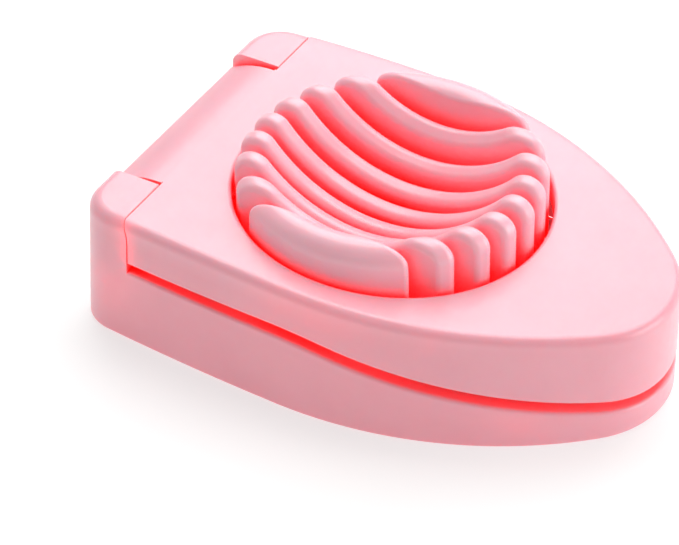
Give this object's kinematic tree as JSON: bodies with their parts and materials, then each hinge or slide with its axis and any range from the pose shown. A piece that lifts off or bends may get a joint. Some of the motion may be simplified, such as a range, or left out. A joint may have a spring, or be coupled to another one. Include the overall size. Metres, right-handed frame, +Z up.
{
  "type": "egg slicer",
  "caption": "Teardrop egg slicer: a hinged lid with taut cutting wires closes over a ribbed round egg cradle on a hollow base.",
  "frame": {"origin": "middle of the footprint at the level of the feet", "axes": "+Y towards the hinge, -Y towards the rounded nose, +X across, +Z up"},
  "size_m": [0.08, 0.116, 0.0382],
  "materials": {
    "pink_plastic": "moulded, soft satin gloss",
    "frame_alloy": "die-cast, lightly tumbled",
    "plated_steel": "zinc plated",
    "rod_steel": "drawn bright steel",
    "wire_steel": "drawn stainless wire",
    "ferrule_brass": "crimped",
    "foot_rubber": "soft, matt"
  },
  "bodies": {
    "base": {"base_shell": "pink_plastic", "egg_cradle": "pink_plastic", "cradle_screws": "plated_steel", "hinge_rod": "rod_steel", "foot_rear_left": "foot_rubber", "foot_rear_right": "foot_rubber", "foot_front_left": "foot_rubber", "foot_front_right": "foot_rubber"},
    "lid": {"lid_shell": "pink_plastic", "wire_frame": "frame_alloy", "frame_screws": "plated_steel", "wire_ferrules_front": "ferrule_brass", "wire_ferrules_rear": "ferrule_brass", "wire_1": "wire_steel", "wire_2": "wire_steel", "wire_3": "wire_steel", "wire_4": "wire_steel", "wire_5": "wire_steel", "wire_6": "wire_steel", "wire_7": "wire_steel", "wire_8": "wire_steel"}
  },
  "joints": [
    {"name": "lid_hinge", "type": "hinge", "parent": "base", "child": "lid", "pos_m": [0, 0.0526, 0.025], "axis": [-1, 0, 0], "range_deg": [0, 110]}
  ]
}
